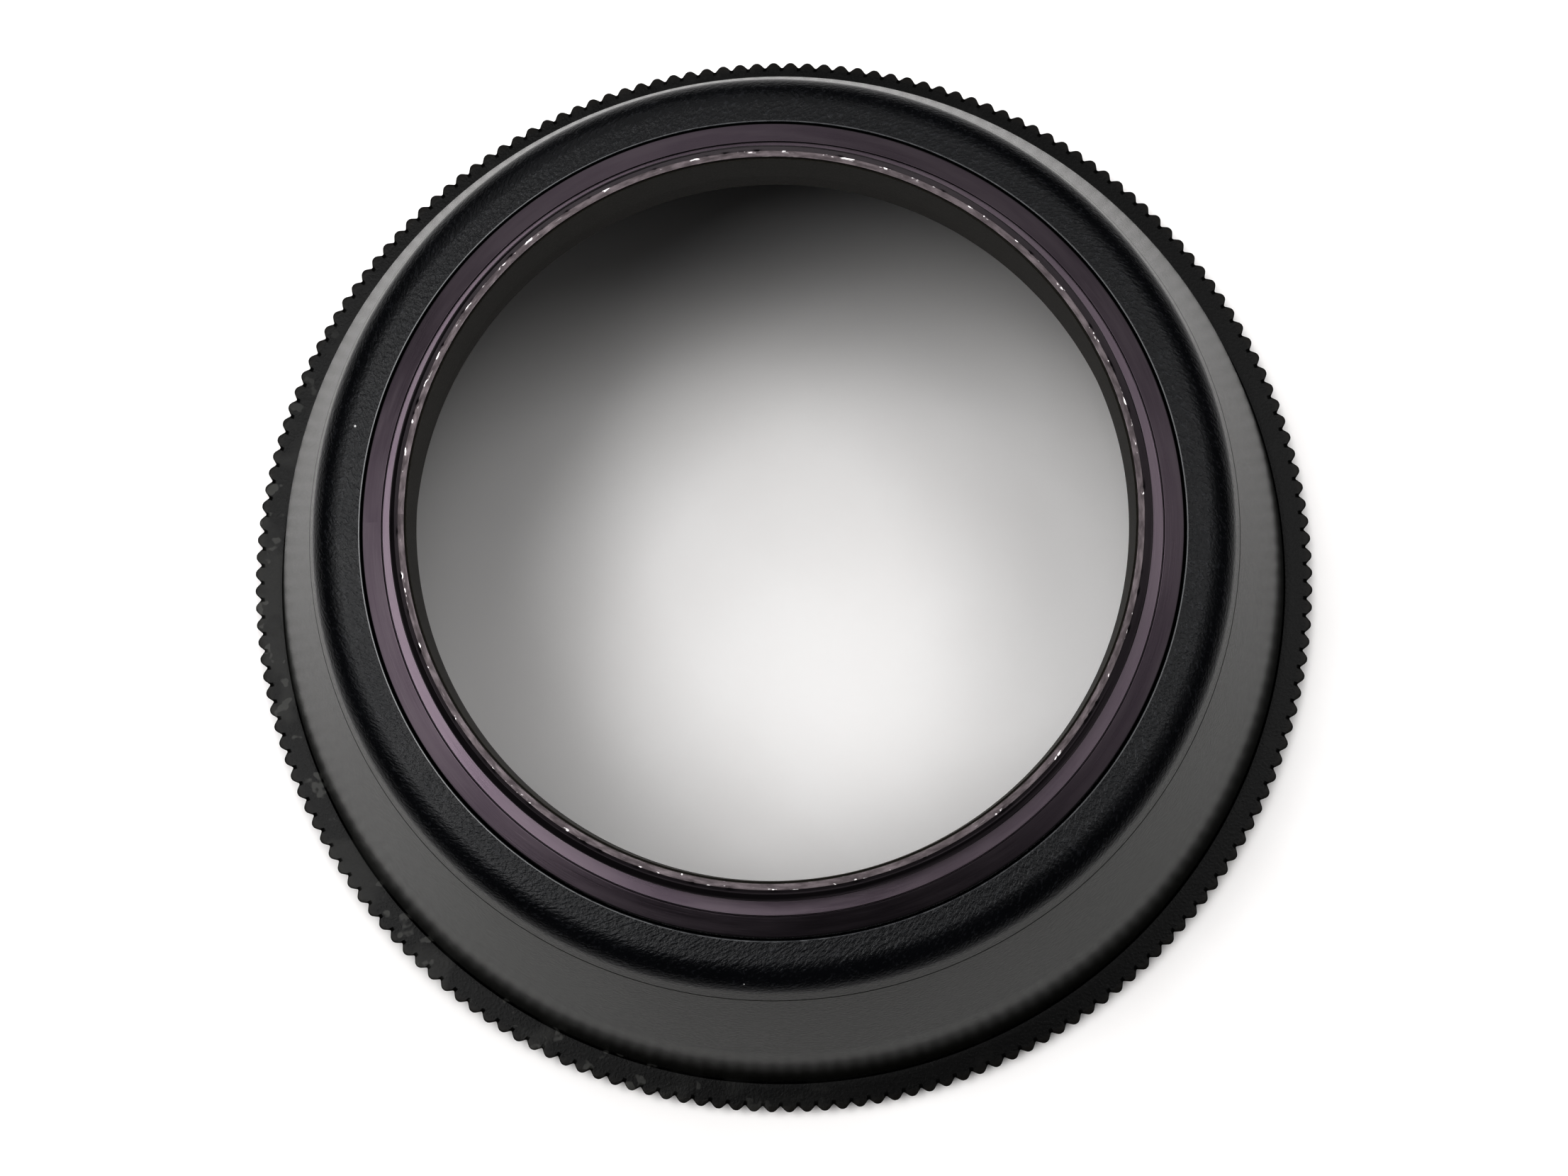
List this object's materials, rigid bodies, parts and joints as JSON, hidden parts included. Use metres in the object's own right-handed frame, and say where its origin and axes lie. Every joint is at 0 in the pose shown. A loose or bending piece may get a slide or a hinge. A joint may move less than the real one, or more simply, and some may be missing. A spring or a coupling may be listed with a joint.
{
  "type": "lens hood",
  "caption": "Round collapsible rubber lens hood with a flared skirt, a toothed front rim and a screw-in metal mount ring.",
  "frame": {"origin": "on the optical axis, in the plane that the front rim stands on", "axes": "+Z along the optical axis, from the front rim towards the lens thread; X and Y in the plane of the rim"},
  "size_m": [0.0816, 0.0816, 0.0331],
  "materials": {
    "anodised_ring": "satin anodised, black faded to purple",
    "black_ring": "matte black anodised",
    "collar_rubber": "fine leather grain",
    "wall_rubber": "matte, fine grain",
    "rim_rubber": "matte, dusty"
  },
  "bodies": {
    "mount": {"mount_ring": "anodised_ring", "retaining_ring": "black_ring", "rubber_collar": "collar_rubber", "rubber_wall": "wall_rubber"},
    "rim": {"rubber_rim": "rim_rubber"}
  },
  "joints": [
    {"name": "fold_back", "type": "slide", "parent": "mount", "child": "rim", "axis": [0, 0, 1], "range_m": [0, 0.02], "deforming": ["rubber_wall"]}
  ]
}
